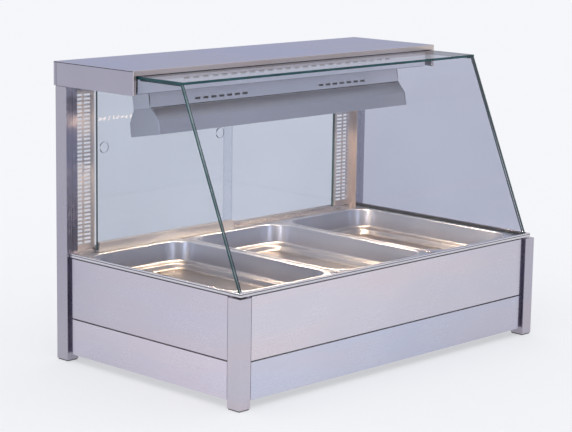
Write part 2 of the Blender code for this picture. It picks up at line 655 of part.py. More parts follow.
def make_lamps(half_length):
    """Two quartz tubes end to end, the ceramic block between them and the guard below."""
    depth, z = lamp_point(0, -LAMP_TUBE_DROP)
    lie_along_x = Matrix.Rotation(math.radians(90), 4, "Y")
    holder_half = 0.0150
    for side, sign in (("left", -1), ("right", 1)):
        x = sorted((sign * (holder_half + 0.0005), sign * half_length))
        bm = bmesh.new()
        place = Matrix.Translation((sum(x) / 2, back(depth), z)) @ lie_along_x
        bmesh.ops.create_cone(bm, cap_ends=True, segments=16, radius1=LAMP_TUBE_RADIUS,
                              radius2=LAMP_TUBE_RADIUS, depth=x[1] - x[0], matrix=place)
        smooth(add("lamp_tube_" + side, QUARTZ, mesh_from(bm, "lamp_tube_" + side)))
    holder = tilted_block(0.010, -LAMP_TUBE_DROP - 0.0095, -0.0014)
    prism("lamp_holder", CERAMIC, holder, (-holder_half, holder_half))

    foot, head = -0.0590, -0.0575
    guard = prism("lamp_guard", BRIGHT_STEEL, tilted_block(0.0470, foot, head), (-half_length, half_length))
    openings, pitch, bar, opening_depth = 20, 0.0420, 0.0035, 0.084
    depth, z = lamp_point(0, (foot + head) / 2)
    tilt = Matrix.Rotation(-LAMP_TILT, 4, "X") @ Matrix.Diagonal((pitch - bar, opening_depth, 0.010, 1))
    bm = bmesh.new()
    for step in range(openings):
        x = pitch * (step - (openings - 1) / 2)
        bmesh.ops.create_cube(bm, size=1, matrix=Matrix.Translation((x, back(depth), z)) @ tilt)
    cut(guard, cutter("lamp_guard_cutter", bm))


# ---- controls on the rear ------------------------------------------------------------------------------
def make_controls():
    make_thermostat()
    for name, x in ROCKER_X.items():
        make_switch(name, x)
    lens = [(0, 0.0060), (0.0030, 0.0052), (0.0050, 0.0030), (0.0055, 0.0004),
            (0.0041, 0.0004), (0.0041, -0.0080), (0, -0.0080)]
    turned("indicator_light", RED_PLASTIC, lens, INDICATOR_X, REAR_PANEL, CONTROL_Z, steps=20)
    gland = [(0.0045, 0.0150), (0.0080, 0.0150), (0.0095, 0.0130), (0.0100, 0.0060), (0.0125, 0.0060),
             (0.0125, GAP), (0, GAP), (0, 0.0020), (0.0045, 0.0020), (0.0045, 0.0150)]
    turned("cable_gland", BLACK_PLASTIC, gland, GLAND_X, REAR_PANEL, GLAND_Z, steps=24)


def make_thermostat():
    """The switch body behind the panel and the knob in front of it, on a short shaft."""
    body_radius, body_depth = 0.018, (0.5700, REAR_PANEL - SHEET - 0.0010)
    bm = bmesh.new()
    put_rod(bm, body_radius, THERMOSTAT_X, body_depth, CONTROL_Z)
    smooth(add("thermostat_body", BLACK_PLASTIC, mesh_from(bm, "thermostat_body")))
    reach = DEPTH + KNOB_REACH - REAR_PANEL
    profile = [(0, reach), (0.0185, reach), (0.0200, reach - 0.0015), (0.0215, 0.0040),
               (0.0230, 0.0030), (0.0230, 0.0010), (0.0030, 0.0010), (0.0030, -0.0016), (0, -0.0016)]
    turned("thermostat_knob", BLACK_PLASTIC, profile, THERMOSTAT_X, REAR_PANEL, CONTROL_Z)


def make_switch(name, x):
    """A snap-in housing, open behind the panel's face where its rocker moves, and the rocker."""
    face, z = REAR_PANEL, CONTROL_Z
    bezel = box(name + "_switch_housing", BLACK_PLASTIC, (x - 0.0115, x + 0.0115),
                (face + GAP, face + 0.0020), (z - 0.0155, z + 0.0155))
    bm = bmesh.new()
    put_box(bm, (x - 0.0092, x + 0.0092), (face - 0.022, face + 0.0010), (z - 0.0132, z + 0.0132))
    union = bezel.modifiers.new("body", "BOOLEAN")
    union.operation = "UNION"
    union.solver = "EXACT"
    union.object = cutter(name + "_switch_body", bm)
    cut_boxes(bezel, [((x - 0.0075, x + 0.0075), (face - 0.016, face + 0.010), (z - 0.0118, z + 0.0118))])
    make_rocker(name + "_rocker", x, face - 0.004)


def make_rocker(name, x, pivot_depth):
    """A two-facet rocker, tipped to its off side about its own pivot."""
    outline = [(-0.0040, -0.0095), (0.0085, -0.0105), (0.0065, 0), (0.0085, 0.0105), (-0.0040, 0.0095)]
    tip = Matrix.Rotation(-ROCKER_TILT, 2)
    section = []
    for along, up in outline:
        point = tip @ Vector((along, up))
        section.append((pivot_depth + point.x, CONTROL_Z + point.y))
    look = RED_PLASTIC if name.startswith("power") else BLACK_PLASTIC
    prism(name, look, section, (x - 0.0070, x + 0.0070))


for leftover in list(bpy.data.objects):
    bpy.data.objects.remove(leftover, do_unlink=True)
PARTS = new_collection("hot_food_display_case")
CUTTERS = new_collection("cutters")

make_chassis()
make_base_tray()
make_panels()
make_posts()
make_deck()
make_tank()
make_pans()
make_stiles()
make_tracks()
make_doors()
make_glass()
make_canopy()
make_lamp_unit()
make_controls()
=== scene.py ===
"""The looks of the hot food display case: materials, fine pieces, lights and camera.

Everything is in metres in the CAD model's frame.  X runs to the right as the customer sees
the case, the customer stands on the -Y side, and +Z is up.
"""
import math

import bmesh
import bpy
from mathutils import Matrix, Vector


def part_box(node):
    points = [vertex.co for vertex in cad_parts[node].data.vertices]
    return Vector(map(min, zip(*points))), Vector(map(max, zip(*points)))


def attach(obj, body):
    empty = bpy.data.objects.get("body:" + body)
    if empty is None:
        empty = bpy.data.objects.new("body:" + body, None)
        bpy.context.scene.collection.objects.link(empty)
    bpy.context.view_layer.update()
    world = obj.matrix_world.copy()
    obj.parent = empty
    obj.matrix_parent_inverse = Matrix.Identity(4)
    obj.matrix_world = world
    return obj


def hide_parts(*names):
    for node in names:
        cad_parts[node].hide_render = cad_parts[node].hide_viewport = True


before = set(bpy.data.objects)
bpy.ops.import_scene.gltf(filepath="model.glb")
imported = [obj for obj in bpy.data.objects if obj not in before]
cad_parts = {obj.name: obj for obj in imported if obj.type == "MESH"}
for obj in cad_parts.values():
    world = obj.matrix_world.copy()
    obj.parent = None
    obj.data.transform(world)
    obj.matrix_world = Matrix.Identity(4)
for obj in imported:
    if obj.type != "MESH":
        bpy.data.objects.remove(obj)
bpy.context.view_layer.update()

# ---- camera ---------------------------------------------------------------------------------
CAMERA_PLACE = (-3.2186, -3.0495, 1.1471)
CAMERA_YAW, CAMERA_PITCH, CAMERA_ROLL = 0.8033, -0.1835, 0.0154
LENS, SENSOR = 117.63, 36.0
SHIFT_X, SHIFT_Y = 0.0011, -0.0029

# ---- colours --------------------------------------------------------------------------------
FLOOR_COLOUR = (0.402, 0.406, 0.418)
BACKDROP = (0.913, 0.930, 0.955)
STUDIO_HORIZON, STUDIO_OVERHEAD = (0.51, 0.51, 0.575), (1.23, 1.23, 1.23)
ROSE = (0.715, 0.670, 0.705)
LAVENDER = (0.600, 0.570, 0.615)
PALE_BLUE = (0.640, 0.650, 0.740)
BLUE_STEEL = (0.535, 0.540, 0.620)
SHADED_ROSE = (0.640, 0.600, 0.665)
SHADED = (0.505, 0.490, 0.560)
SHADED_BLUE_ROSE = (0.720, 0.675, 0.750)
SHADED_BLUE = (0.590, 0.570, 0.640)
LAMP_COLOUR = (1.0, 0.74, 0.46)
SLOT_COLOUR = (1.0, 0.68, 0.40)
SEAM_COLOUR = (0.10, 0.10, 0.12)


# ---- node helpers -----------------------------------------------------------------------------
def new_material(name):
    material = bpy.data.materials.new(name)
    material.use_nodes = True
    material.node_tree.nodes.clear()
    return material, material.node_tree


def plug(tree, socket, value):
    """Link a socket, or set it to a number, a vector or a colour."""
    if isinstance(value, bpy.types.NodeSocket):
        tree.links.new(value, socket)
    elif socket.type == "RGBA":
        socket.default_value = (*value, 1.0)
    else:
        socket.default_value = value


def node(tree, kind, **settings):
    """Add a node; settings named like its sockets feed or set them, and the others set the node."""
    made = tree.nodes.new(kind)
    for name, value in settings.items():
        label = name.replace("_", " ")
        socket = made.inputs.get(label) or made.inputs.get(label.title())
        if socket is None:
            setattr(made, name, value)
        else:
            plug(tree, socket, value)
    return made


def output(tree, shader):
    node(tree, "ShaderNodeOutputMaterial", Surface=shader)


def coordinate(tree, axis):
    """One of the object's own coordinates."""
    place = node(tree, "ShaderNodeTexCoord")
    split = node(tree, "ShaderNodeSeparateXYZ", Vector=place.outputs["Object"])
    return split.outputs[axis]


def stretched_noise(tree, scale, detail=2.0, roughness=0.5, turn=(0, 0, 0)):
    """Noise over the object's own coordinates, turned, with its own scale along each axis."""
    place = node(tree, "ShaderNodeTexCoord")
    mapping = node(tree, "ShaderNodeMapping", Vector=place.outputs["Object"], Scale=scale, Rotation=turn)
    noise = node(tree, "ShaderNodeTexNoise", Vector=mapping.outputs["Vector"], Scale=1.0,
                 Detail=detail, Roughness=roughness)
    return noise.outputs["Fac"]


def remap(tree, value, low, high, start=0.0, end=1.0):
    """A value that runs from start to end, made to run from low to high."""
    made = node(tree, "ShaderNodeMapRange", clamp=True, Value=value, From_Min=start, From_Max=end,
                To_Min=low, To_Max=high)
    return made.outputs["Result"]


def maths(tree, operation, *values, **settings):
    """The result of a Math node on numbers or sockets."""
    made = node(tree, "ShaderNodeMath", operation=operation, **settings)
    for socket, value in zip(made.inputs, values):
        plug(tree, socket, value)
    return made.outputs[0]


def mix_colour(tree, factor, first, second, blend="MIX"):
    made = node(tree, "ShaderNodeMix", data_type="RGBA", blend_type=blend)
    colours = [socket for socket in made.inputs if socket.type == "RGBA"]
    for socket, value in zip((made.inputs["Factor"], *colours), (factor, first, second)):
        plug(tree, socket, value)
    return next(socket for socket in made.outputs if socket.type == "RGBA")


def mix_shaders(tree, factor, first, second):
    made = node(tree, "ShaderNodeMixShader")
    for socket, value in zip(made.inputs, (factor, first, second)):
        tree.links.new(value, socket)
    return made.outputs[0]


def bump(tree, height, strength, distance):
    made = node(tree, "ShaderNodeBump", Strength=strength, Distance=distance, Height=height)
    return made.outputs["Normal"]


# ---- materials ----------------------------------------------------------------------------------
GRAIN_ALONG, GRAIN_ACROSS = 14.0, 1500.0
# Slant, swing and level of the sheen: rosy and bluish streaks painted on the steel as reflections.
SHEEN_TURN = (math.radians(35), math.radians(35), 0)
SHEEN = (0.022, -0.004, -0.025)
SHEEN_LEVEL = (0.985, 0.985, 1.025)


def grain_scale(axis):
    return tuple(GRAIN_ALONG if letter == axis else GRAIN_ACROSS for letter in "XYZ")


def darken_seams(tree, colour, seams, half_width=0.0009):
    """Dark hairlines in a colour, each where one coordinate passes a value."""
    for axis, position in seams:
        near = maths(tree, "COMPARE", coordinate(tree, axis), position, half_width)
        colour = mix_colour(tree, near, colour, SEAM_COLOUR)
    return colour


def satin_steel(name, first, second, roughness, grain, spread=0.06, painted_falloff=None, seams=(), rim=(1, 1, 1),
                sheen=(0, 0, 0)):
    """Stainless sheet: soft broad clouding, fine brush lines along one axis, faint handling marks.

    Given an axis, a start and an end for the falloff, the first colour turns into the second along that axis:
    a painted falloff of light across the piece.
    The rim colour is what the sheet tends to when it's seen nearly edge on, and the sheen is how far
    each channel swings in broad slanting streaks, painted reflections of the room.
    """
    material, tree = new_material(name)
    clouds = remap(tree, stretched_noise(tree, (1.9, 1.9, 3.1), 2.0), 0, 1, 0.35, 0.65)
    # Painted falloff of light: the colour turns from the first to the second along one axis.
    if painted_falloff:
        axis, start, end = painted_falloff
        along = remap(tree, coordinate(tree, axis), -0.15, 0.8, start, end)
        clouds = maths(tree, "MULTIPLY_ADD", clouds, 0.35, along, use_clamp=True)
    brush = stretched_noise(tree, grain_scale(grain), 3.0, 0.6)
    marks = stretched_noise(tree, (11, 11, 17), 5.0, 0.6)
    lines = mix_colour(tree, remap(tree, brush, 0, 1, 0.3, 0.7), (0.96, 0.96, 0.965), (1.0, 1.0, 1.0))
    colour = mix_colour(tree, 1.0, mix_colour(tree, clouds, first, second), lines, "MULTIPLY")
    # Painted reflections: broad slanting rosy and bluish streaks.
    if any(sheen):
        streaks = stretched_noise(tree, (2.0, 2.0, 11.0), 2.0, 0.45, SHEEN_TURN)
        rosy = tuple(level + swing for level, swing in zip(SHEEN_LEVEL, sheen))
        bluish = tuple(level - swing for level, swing in zip(SHEEN_LEVEL, sheen))
        tones = mix_colour(tree, remap(tree, streaks, 0, 1, 0.38, 0.62), rosy, bluish)
        colour = mix_colour(tree, 1.0, colour, tones, "MULTIPLY")
    fine = remap(tree, brush, roughness - spread / 2, roughness + spread / 2, 0.3, 0.7)
    coarse = remap(tree, marks, -0.03, 0.05, 0.4, 0.75)
    shader = node(tree, "ShaderNodeBsdfPrincipled", Metallic=1.0, Specular_Tint=rim,
                  Base_Color=darken_seams(tree, colour, seams), Roughness=maths(tree, "ADD", fine, coarse),
                  Normal=bump(tree, brush, 0.02, 0.0001))
    output(tree, shader.outputs["BSDF"])
    return material


def moulded(name, colour, roughness, grain_size=2600.0, strength=0.12, coat=0.0):
    """Moulded plastic, rubber or ceramic: a fine sparked grain and slight shade changes."""
    material, tree = new_material(name)
    grain = stretched_noise(tree, (grain_size,) * 3, 2.0)
    patches = stretched_noise(tree, (60, 60, 60), 3.0)
    lighter = tuple(min(1.0, channel * 1.25 + 0.004) for channel in colour)
    shade = mix_colour(tree, remap(tree, patches, 0, 1, 0.35, 0.7), colour, lighter)
    shader = node(tree, "ShaderNodeBsdfPrincipled", Metallic=0.0, Coat_Weight=coat, Base_Color=shade,
                  Roughness=remap(tree, patches, roughness - 0.05, roughness + 0.07, 0.3, 0.7),
                  Normal=bump(tree, grain, strength, 0.0002))
    output(tree, shader.outputs["BSDF"])
    return material


def pane(name, tint):
    """One face of a glass pane: it lets tinted light straight through and mirrors a little."""
    material, tree = new_material(name)
    film = stretched_noise(tree, (2.2, 2.2, 3.0), 3.0)
    paler = tuple(min(1.0, channel * 1.025) for channel in tint)
    colour = mix_colour(tree, remap(tree, film, 0, 1, 0.35, 0.65), tint, paler)
    through = node(tree, "ShaderNodeBsdfTransparent", Color=colour)
    gloss = node(tree, "ShaderNodeBsdfGlossy", Color=(0.93, 0.95, 1.0),
                 Roughness=remap(tree, film, 0.01, 0.045, 0.35, 0.75))
    fresnel = node(tree, "ShaderNodeFresnel", IOR=1.45)
    side = node(tree, "ShaderNodeNewGeometry")
    outside = maths(tree, "SUBTRACT", 1.0, side.outputs["Backfacing"])
    share = maths(tree, "MULTIPLY", fresnel.outputs["Fac"], outside)
    output(tree, mix_shaders(tree, share, through.outputs[0], gloss.outputs[0]))
    return material


def glass_edge(name, dark, light):
    """A ground and polished glass edge with paler runs along it."""
    material, tree = new_material(name)
    runs = stretched_noise(tree, (26, 26, 26), 4.0, 0.6)
    shader = node(tree, "ShaderNodeBsdfPrincipled", Specular_IOR_Level=0.25,
                  Base_Color=mix_colour(tree, remap(tree, runs, 0, 1, 0.35, 0.7), dark, light),
                  Roughness=remap(tree, runs, 0.12, 0.26))
    output(tree, shader.outputs["BSDF"])
    return material


def glowing(name, colour, strength):
    """A hot coil's light through quartz, with a brighter and a dimmer stretch every few millimetres; the same
    glow is painted on the hood's slots.
    """
    material, tree = new_material(name)
    coil = stretched_noise(tree, (420, 5, 5), 1.0)
    dimmer = tuple(channel * 0.72 for channel in colour)
    light = mix_colour(tree, remap(tree, coil, 0, 1, 0.4, 0.6), dimmer, colour)
    emission = node(tree, "ShaderNodeEmission", Strength=strength, Color=light)
    output(tree, emission.outputs[0])
    return material


def plain(name, colour, roughness=0.6, glow=0.0):
    """Printing ink and the floor: nearly even, with a slight unevenness of shade and gloss."""
    material, tree = new_material(name)
    patches = stretched_noise(tree, (3, 3, 3), 3.0)
    darker = tuple(channel * 0.985 for channel in colour)
    shader = node(tree, "ShaderNodeBsdfPrincipled", Specular_IOR_Level=0.0 if glow else 0.2,
                  Emission_Color=colour, Emission_Strength=glow,
                  Base_Color=mix_colour(tree, patches, darker, colour),
                  Roughness=remap(tree, patches, roughness - 0.04, roughness + 0.04))
    output(tree, shader.outputs["BSDF"])
    return material


# Colours that turn along an axis here are painted falloff of light, and the slanting rosy and bluish streaks
# are painted reflections.
FRONT_UPPER = satin_steel("steel_front_upper", ROSE, LAVENDER, 0.30, "X", painted_falloff=("X", -0.35, 0.50),
                          sheen=SHEEN)
FRONT_LOWER = satin_steel("steel_front_lower", PALE_BLUE, BLUE_STEEL, 0.30, "X", painted_falloff=("X", -0.35, 0.50),
                          sheen=SHEEN)
SIDE_STEEL = satin_steel("steel_sides", SHADED_ROSE, SHADED, 0.30, "Y", painted_falloff=("Y", -0.30, 0.25),
                         sheen=SHEEN)
# The lower side panels are painted lighter than the upper ones to make up for the floor's shade: painted
# light.
SIDE_LOWER = satin_steel("steel_sides_lower", SHADED_BLUE_ROSE, SHADED_BLUE, 0.30, "Y",
                         painted_falloff=("Y", -0.30, 0.25), sheen=SHEEN)
POST_STEEL = satin_steel("steel_posts", (0.600, 0.565, 0.610), (0.480, 0.450, 0.500), 0.26, "Z",
                         painted_falloff=("X", -0.50, 0.50), sheen=SHEEN)
# A darker copy of the post steel for the rear posts: painted shade.
SHADED_REAR_POST_STEEL = satin_steel("shaded_steel_rear_posts", (0.400, 0.385, 0.460), (0.435, 0.415, 0.480), 0.26, "Z")
# The stiles' warm tan, lighter on the left than on the right, is painted lamp light.
STILE_STEEL = satin_steel("steel_stiles", (0.840, 0.775, 0.755), (0.640, 0.580, 0.560), 0.42, "Z",
                          painted_falloff=("X", -0.40, 0.40))
# The chassis is painted pale, far lighter than the inner steel, so the narrow recesses where it shows don't
# fall dark: painted light.
CHASSIS_STEEL = satin_steel("steel_chassis", (0.860, 0.840, 0.860), (0.900, 0.880, 0.890), 0.55, "Z")
HIDDEN_STEEL = satin_steel("steel_inner", (0.480, 0.475, 0.510), (0.540, 0.525, 0.550), 0.38, "X")
CANOPY_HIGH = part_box("canopy_shell")[1]
# The canopy's top is a darker bluish tone, a painted reflection of the room above, and its ends are another
# tone: painted light by which way the faces look.
CANOPY_TOP = satin_steel("canopy_top", (0.355, 0.370, 0.510), (0.375, 0.385, 0.515), 0.34, "X",
                         rim=(0.88, 0.90, 0.96), sheen=SHEEN)
CANOPY_END = satin_steel("canopy_ends", (0.410, 0.400, 0.490), (0.435, 0.420, 0.500), 0.34, "Y",
                         seams=(("Y", CANOPY_HIGH.y - 0.0090), ("Z", CANOPY_HIGH.z - 0.0016)))
RIM_STEEL = satin_steel("rim_steel", (0.620, 0.610, 0.670), (0.680, 0.660, 0.700), 0.24, "X",
                        seams=(("Z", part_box("glass_rim")[1].z - 0.0034),))
DECK_STEEL = satin_steel("deck_steel", (0.660, 0.630, 0.625), (0.720, 0.680, 0.660), 0.28, "X")
# The pans' steel turns from dark brown on their floors to pale bluish grey up the walls: painted reflection
# and shade.
PAN_STEEL = satin_steel("pan_steel", (0.320, 0.285, 0.270), (0.600, 0.630, 0.700), 0.33, "Y", 0.02,
                        painted_falloff=("Z", 0.180, 0.235))
# Bright steel for thin edges and the hood trim: a painted highlight.
EDGE_HIGHLIGHT_STEEL = satin_steel("painted_edge_highlight", (0.900, 0.900, 0.930), (0.940, 0.940, 0.960), 0.18, "Y")
DUCT_STEEL = satin_steel("duct_steel", (0.950, 0.940, 0.955), (0.970, 0.960, 0.965), 0.33, "X")
# The canopy's front lip is tan: a painted warm reflection.
CANOPY_LIP = satin_steel("canopy_lip", (0.560, 0.480, 0.450), (0.640, 0.570, 0.550), 0.33, "X")
LAMP_STEEL = satin_steel("lamp_steel", (0.820, 0.810, 0.825), (0.640, 0.630, 0.650), 0.33, "X",
                         painted_falloff=("X", -0.30, 0.50))
SHADED_LAMP = satin_steel("shaded_lamp_steel", (0.650, 0.645, 0.665), (0.510, 0.505, 0.525), 0.33, "X",
                          painted_falloff=("X", -0.30, 0.50))
ALUMINIUM = satin_steel("aluminium", (0.900, 0.875, 0.860), (0.930, 0.900, 0.880), 0.40, "X")
ELEMENT = satin_steel("element_sheath", (0.30, 0.27, 0.25), (0.38, 0.33, 0.29), 0.45, "X")
PANE = pane("glass_face", (0.776, 0.792, 0.840))
SIDE_PANE = pane("glass_face_left", (0.767, 0.785, 0.828))
FAR_PANE = pane("glass_face_right", (0.850, 0.850, 0.890))
DOOR_PANE = pane("glass_face_doors", (0.930, 0.940, 0.955))
EDGE = glass_edge("glass_edge", (0.006, 0.036, 0.044), (0.020, 0.082, 0.096))
END_EDGE = glass_edge("glass_edge_ends", (0.045, 0.095, 0.105), (0.260, 0.320, 0.335))
PALE_EDGE = pane("glass_edge_pale", (0.860, 0.875, 0.900))
BLACK = moulded("black_plastic", (0.018, 0.018, 0.020), 0.38)
RUBBER = moulded("black_rubber", (0.014, 0.013, 0.014), 0.75, 1800.0, 0.25)
RED = moulded("red_plastic", (0.50, 0.025, 0.018), 0.28, 1500.0, 0.04, 0.4)
CERAMIC = moulded("ceramic", (0.78, 0.76, 0.70), 0.55, 3000.0, 0.2)
QUARTZ = glowing("lit_quartz", LAMP_COLOUR, 12.0)
# The slots' glow is painted light; only the quartz tubes are lamps.
SLOT_GLOW = glowing("lit_slots", SLOT_COLOUR, 22.0)
INK = plain("white_ink", (0.85, 0.85, 0.85))
DARK_INK = plain("dark_ink", (0.03, 0.03, 0.035))
FLOOR = plain("pale_floor", FLOOR_COLOUR, 0.85, 1.25)


# ---- pieces ---------------------------------------------------------------------------------------
MOVING = {
    "door_left": ("door_glass_left", "door_rail_left"),
    "door_right": ("door_glass_right", "door_rail_right"),
    "pan_left": ("pan_left",),
    "pan_middle": ("pan_middle",),
    "pan_right": ("pan_right",),
    "thermostat_knob": ("thermostat_knob",),
    "power_rocker": ("power_rocker",),
    "lamp_rocker": ("lamp_rocker",),
}


def body_of(name):
    """The moving body that a CAD node belongs to, else the cabinet."""
    for body, parts in MOVING.items():
        if name in parts:
            return body
    return "cabinet"


def mesh_from(name, bm, turn_outwards=False):
    """The mesh of what was drawn in bm."""
    if turn_outwards:
        bmesh.ops.recalc_face_normals(bm, faces=bm.faces)
    mesh = bpy.data.meshes.new(name)
    bm.to_mesh(mesh)
    bm.free()
    return mesh


def smooth(mesh, sharpest):
    """Smooth shading, apart from edges that turn by more than an angle in degrees."""
    mesh.shade_smooth()
    mesh.set_sharp_from_angle(angle=math.radians(sharpest))
    return mesh


def placed(name, data):
    """An object in the scene, for a piece, a light or the camera."""
    thing = bpy.data.objects.new(name, data)
    bpy.context.scene.collection.objects.link(thing)
    return thing


def settled_mesh(thing):
    """The mesh that an object makes with its curve or modifiers; the object itself is taken away."""
    bpy.context.view_layer.update()
    mesh = bpy.data.meshes.new_from_object(thing.evaluated_get(bpy.context.evaluated_depsgraph_get()))
    bpy.data.objects.remove(thing)
    return mesh


def link_piece(name, mesh, materials, body):
    """A fine piece that moves with one of the CAD bodies."""
    piece = placed(name, mesh)
    for material in materials:
        mesh.materials.append(material)
    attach(piece, body)
    return piece


def bevel(piece, width, segments=2):
    """Round off a piece's edges."""
    modifier = piece.modifiers.new("edges", "BEVEL")
    modifier.width = width
    modifier.segments = segments
    modifier.limit_method = "ANGLE"
    modifier.angle_limit = math.radians(40)
    modifier.harden_normals = False
    modifier.use_clamp_overlap = True


def remade(name, materials, width=0.0006, slot=None, choose=None, round_piece=False, segments=2):
    """A clean copy of a CAD node's solid, with whole flat faces, fine edges and its own materials."""
    bm = bmesh.new()
    bm.from_mesh(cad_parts[name].data)
    bmesh.ops.remove_doubles(bm, verts=bm.verts, dist=0.00001)
    bmesh.ops.dissolve_limit(bm, angle_limit=math.radians(0.5), verts=bm.verts, edges=bm.edges)
    if choose:
        bm.normal_update()
        for face in bm.faces:
            face.material_index = choose(face)
    mesh = mesh_from(name + "_fine", bm)
    piece = link_piece(name + "_fine", mesh, materials, body_of(name))
    if round_piece:
        smooth(mesh, 40)
    if width:
        bevel(piece, width, segments)
    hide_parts(name)
    return piece


def by_facing(face):
    """0 for a face that looks along X, 1 along Y and 2 along Z."""
    size = [abs(part) for part in face.normal]
    return size.index(max(size))


def with_front(face):
    """Like by_facing, but 3 for a face that looks to the front."""
    return 3 if face.normal.y < -0.9 else by_facing(face)


def slopes_up_in_front(face):
    """1 for a face that looks forwards and well upwards, else 0."""
    return 1 if face.normal.y < -0.3 and face.normal.z > 0.5 else 0


def make_sheet_metal():
    """Every folded sheet and tube keeps its CAD shape, with rolled edges and a brushed finish."""
    for side in ("left", "right"):
        for level in ("lower", "upper"):
            material = SIDE_STEEL if level == "upper" else SIDE_LOWER
            remade(side + "_panel_" + level, [material], 0.0005, "steel")
        remade("stile_" + side, [STILE_STEEL], 0.0003, "steel", segments=1)
        remade("divider_" + side, [DECK_STEEL], 0.0005, "deck_steel")
        # The end plates' thin edges take the bright steel, a painted highlight.
        remade("lamp_end_" + side, [LAMP_STEEL, EDGE_HIGHLIGHT_STEEL, EDGE_HIGHLIGHT_STEEL], 0.0003, "lamp_steel", by_facing)
        remade("seal_block_" + side, [RUBBER], 0.0008, "rubber")
        for end in ("front", "rear"):
            # The rear posts take the darker copy of the steel, painted shade.
            material = POST_STEEL if end == "front" else SHADED_REAR_POST_STEEL
            remade("post_" + end + "_" + side, [material], 0.0014, "steel", segments=3)
            remade("foot_" + end + "_" + side, [BLACK], 0.0010, "black_plastic")
    for name, material in (("front_panel_lower", FRONT_LOWER), ("front_panel_upper", FRONT_UPPER),
                           ("rear_panel_lower", FRONT_LOWER), ("control_panel", FRONT_UPPER)):
        remade(name, [material], 0.0005, "steel")
    # The canopy shell takes a colour for each way its faces look (ends, rear, top, front lip): painted light
    # and reflection.
    remade("canopy_shell", [CANOPY_END, LAMP_STEEL, CANOPY_TOP, CANOPY_LIP], 0.0007, "steel", with_front)
    remade("chassis", [CHASSIS_STEEL], 0, "steel")
    for name in ("canopy_underside", "base_tray", "well_tank"):
        remade(name, [HIDDEN_STEEL], 0, "steel")
    remade("canopy_fascia", [DUCT_STEEL], 0.0003, "steel")
    remade("deck_plate", [DECK_STEEL], 0.0004, "deck_steel")
    remade("glass_rim", [RIM_STEEL], 0.0004, "steel")
    remade("door_track_bottom", [DECK_STEEL], 0.0003, "steel")
    remade("door_track_top", [HIDDEN_STEEL], 0.0003, "steel")
    remade("lamp_duct", [DUCT_STEEL], 0.0004, "lamp_steel")
    remade("lamp_hood", [LAMP_STEEL, SHADED_LAMP], 0.0009, "lamp_steel", slopes_up_in_front, segments=3)
    remade("lamp_guard", [LAMP_STEEL], 0, "lamp_steel")
    remade("lamp_holder", [CERAMIC], 0.0012, "ceramic")
    remade("heating_element", [ELEMENT], 0, "element", round_piece=True)
    remade("door_rail_left", [ALUMINIUM], 0.0004, "aluminium")
    remade("door_rail_right", [ALUMINIUM], 0.0004, "aluminium")


# The front pane's thickness measured level, and how squarely a face has to look along a direction.
LEVEL_THICKNESS = 0.0065
SQUARE_ON = 0.95


def edge_chooser(name, facing, meeting):
    """A choice of material for each face of a pane.

    Clear faces get 0, the edge that meets an upright or the other door 2, the front pane's left
    edge 3, and every other edge 1.
    """
    def choose(face):
        if abs(face.normal.dot(facing)) > SQUARE_ON:
            return 0
        if name == "front_glass" and face.normal.x < -SQUARE_ON:
            return 3
        return 2 if meeting and face.normal.dot(meeting) > SQUARE_ON else 1
    return choose


def make_glass():
    """Panes with clear faces and dark edges; edges that meet a post or another door are paler."""
    low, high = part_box("front_glass")
    slope = Vector((0, low.z - high.z, high.y - low.y - LEVEL_THICKNESS)).normalized()
    along_x, along_y, along_z = Vector((1, 0, 0)), Vector((0, 1, 0)), Vector((0, 0, 1))
    for name, facing, meeting, clear in (("front_glass", slope, None, PANE),
                                         ("side_glass_left", along_x, along_y, SIDE_PANE),
                                         ("side_glass_right", along_x, along_y, FAR_PANE),
                                         ("top_glass", along_z, None, PANE),
                                         ("door_glass_left", along_y, along_x, DOOR_PANE),
                                         ("door_glass_right", along_y, -along_x, DOOR_PANE)):
        remade(name, [clear, EDGE, PALE_EDGE, END_EDGE], 0.0004, "glass",
               edge_chooser(name, facing, meeting), segments=1)


def band(bm, first, second):
    """Faces between two closed loops with the same number of corners."""
    for i in range(len(first)):
        j = (i + 1) % len(first)
        bm.faces.new((first[i], first[j], second[j], second[i]))


def prism(bm, *outlines):
    """A closed bar between two outlines with the same number of corners."""
    ends = [[bm.verts.new(corner) for corner in outline] for outline in outlines]
    band(bm, *ends)
    for end in ends:
        bm.faces.new(end)


def make_joint_beads():
    """Dark bonding where the side panes meet the front pane, inside and outside, and the top pane."""
    side_low, side_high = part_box("side_glass_left")
    front_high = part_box("front_glass")[1]
    top_low, top_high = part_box("top_glass")
    foot_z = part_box("glass_rim")[1].z + 0.0002
    top_bead, skin, rear_gap = 0.0045, 0.0001, 0.0120
    bm = bmesh.new()
    for sign, bead, thread in ((-1, 0.0020, 0.0020), (1, 0.0006, 0.0008)):
        wall = -sign * side_high.x
        inner = [[(wall, y, z), (wall, y + bead, z), (wall - sign * bead, y, z)]
                 for y, z in ((side_low.y - 0.0003, foot_z), (front_high.y, top_low.z - 0.0002))]
        outside = sign * (front_high.x + skin)
        inside = outside - sign * thread
        outer = [[(outside, y - thread, z), (outside, y + thread, z), (inside, y + thread, z),
                  (inside, y - thread, z)]
                 for y, z in ((side_low.y, foot_z), (front_high.y, front_high.z - 0.0010))]
        z = top_low.z - skin
        under = [[(wall, y, z), (wall, y, z - top_bead), (wall - sign * top_bead, y, z)]
                 for y in (front_high.y + 0.0002, top_high.y - rear_gap)]
        for outlines in (inner, outer, under):
            prism(bm, *outlines)
    link_piece("joint_beads", mesh_from("joint_beads", bm, True), [EDGE], "cabinet")


